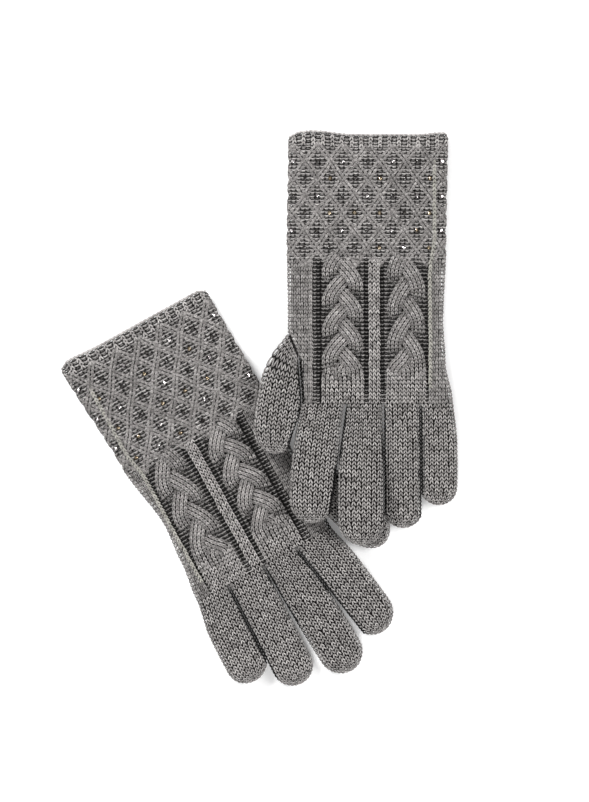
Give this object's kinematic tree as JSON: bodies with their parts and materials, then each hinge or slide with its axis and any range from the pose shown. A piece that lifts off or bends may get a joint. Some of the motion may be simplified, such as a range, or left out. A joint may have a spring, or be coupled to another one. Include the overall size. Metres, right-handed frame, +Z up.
{
  "type": "pair of knitted gloves",
  "caption": "Pair of heather grey knitted gloves with full fingers, crystal-set lattice cuffs and plaited cable backs, one lying over the other.",
  "frame": {"origin": "centre of the pair's footprint on the surface it lies on", "axes": "+Z up from the surface, +Y towards the cuff end of the left glove, +X towards its little finger side"},
  "size_m": [0.236, 0.3284, 0.0212],
  "materials": {
    "heather_yarn": "soft knitted yarn",
    "rim_yarn": "soft ribbed yarn",
    "silver_crystal": "faceted, foil backed",
    "gold_crystal": "faceted amber",
    "dark_crystal": "faceted smoky"
  },
  "bodies": {
    "right_hand_body": {"right_crystal_1_1": "dark_crystal", "right_crystal_1_2": "silver_crystal", "right_crystal_1_3": "dark_crystal", "right_crystal_1_4": "silver_crystal", "right_crystal_1_5": "dark_crystal", "right_crystal_2_1": "dark_crystal", "right_crystal_2_2": "gold_crystal", "right_crystal_2_3": "gold_crystal", "right_crystal_2_4": "dark_crystal", "right_crystal_2_5": "gold_crystal", "right_crystal_2_6": "gold_crystal", "right_crystal_3_1": "silver_crystal", "right_crystal_3_2": "dark_crystal", "right_crystal_3_3": "silver_crystal", "right_crystal_3_4": "dark_crystal", "right_crystal_3_5": "silver_crystal", "right_crystal_4_1": "gold_crystal", "right_crystal_4_2": "gold_crystal", "right_crystal_4_3": "dark_crystal", "right_crystal_4_4": "gold_crystal", "right_crystal_4_5": "gold_crystal", "right_crystal_4_6": "dark_crystal", "right_cuff_lattice": "heather_yarn", "right_cuff_welt": "rim_yarn", "right_hand": "heather_yarn"},
    "right_index_finger_body": {"right_index_finger": "heather_yarn"},
    "right_middle_finger_body": {"right_middle_finger": "heather_yarn"},
    "right_ring_finger_body": {"right_ring_finger": "heather_yarn"},
    "right_little_finger_body": {"right_little_finger": "heather_yarn"},
    "right_thumb_body": {"right_thumb": "heather_yarn"},
    "left_hand_body": {"left_crystal_1_1": "dark_crystal", "left_crystal_1_2": "silver_crystal", "left_crystal_1_3": "dark_crystal", "left_crystal_1_4": "silver_crystal", "left_crystal_1_5": "dark_crystal", "left_crystal_2_1": "dark_crystal", "left_crystal_2_2": "gold_crystal", "left_crystal_2_3": "gold_crystal", "left_crystal_2_4": "dark_crystal", "left_crystal_2_5": "gold_crystal", "left_crystal_2_6": "gold_crystal", "left_crystal_3_1": "silver_crystal", "left_crystal_3_2": "dark_crystal", "left_crystal_3_3": "silver_crystal", "left_crystal_3_4": "dark_crystal", "left_crystal_3_5": "silver_crystal", "left_crystal_4_1": "gold_crystal", "left_crystal_4_2": "gold_crystal", "left_crystal_4_3": "dark_crystal", "left_crystal_4_4": "gold_crystal", "left_crystal_4_5": "gold_crystal", "left_crystal_4_6": "dark_crystal", "left_cuff_lattice": "heather_yarn", "left_cuff_welt": "rim_yarn", "left_hand": "heather_yarn"},
    "left_index_finger_body": {"left_index_finger": "heather_yarn"},
    "left_middle_finger_body": {"left_middle_finger": "heather_yarn"},
    "left_ring_finger_body": {"left_ring_finger": "heather_yarn"},
    "left_little_finger_body": {"left_little_finger": "heather_yarn"},
    "left_thumb_body": {"left_thumb": "heather_yarn"}
  },
  "joints": [
    {"name": "left_glove_lift", "type": "slide", "parent": "right_hand_body", "child": "left_hand_body", "axis": [0, 0, 1], "range_m": [0, 0.08]},
    {"name": "right_index_finger_fold", "type": "hinge", "parent": "right_hand_body", "child": "right_index_finger_body", "pos_m": [0.03176, -0.07575, 0.01], "axis": [-0.8746, -0.4848, 0], "range_deg": [0, 60]},
    {"name": "right_middle_finger_fold", "type": "hinge", "parent": "right_hand_body", "child": "right_middle_finger_body", "pos_m": [0.01164, -0.0869, 0.01], "axis": [-0.8746, -0.4848, 0], "range_deg": [0, 60]},
    {"name": "right_ring_finger_fold", "type": "hinge", "parent": "right_hand_body", "child": "right_ring_finger_body", "pos_m": [-0.00848, -0.09805, 0.01], "axis": [-0.8746, -0.4848, 0], "range_deg": [0, 60]},
    {"name": "right_little_finger_fold", "type": "hinge", "parent": "right_hand_body", "child": "right_little_finger_body", "pos_m": [-0.02798, -0.10886, 0.01], "axis": [-0.8746, -0.4848, 0], "range_deg": [0, 60]},
    {"name": "right_thumb_fold", "type": "hinge", "parent": "right_hand_body", "child": "right_thumb_body", "pos_m": [0.02346, -0.03118, 0.005], "axis": [-0.8938, -0.4484, 0], "range_deg": [0, 30]},
    {"name": "left_index_finger_fold", "type": "hinge", "parent": "left_hand_body", "child": "left_index_finger_body", "pos_m": [0.03835, 0.0042, 0.01573], "axis": [-1, 0, 0], "range_deg": [0, 60]},
    {"name": "left_middle_finger_fold", "type": "hinge", "parent": "left_hand_body", "child": "left_middle_finger_body", "pos_m": [0.06295, 0.0042, 0.01006], "axis": [-1, 0, 0], "range_deg": [0, 60]},
    {"name": "left_ring_finger_fold", "type": "hinge", "parent": "left_hand_body", "child": "left_ring_finger_body", "pos_m": [0.08535, 0.0042, 0.01], "axis": [-1, 0, 0], "range_deg": [0, 60]},
    {"name": "left_little_finger_fold", "type": "hinge", "parent": "left_hand_body", "child": "left_little_finger_body", "pos_m": [0.10595, 0.0042, 0.01], "axis": [-1, 0, 0], "range_deg": [0, 60]},
    {"name": "left_thumb_fold", "type": "hinge", "parent": "left_hand_body", "child": "left_thumb_body", "pos_m": [0.0171, 0.0457, 0.00612], "axis": [-0.9222, -0.3867, 0], "range_deg": [0, 30]}
  ],
  "couplings": [
    {"joint": "right_thumb_fold", "follows": "left_glove_lift", "rad_per_m": 6.544}
  ]
}
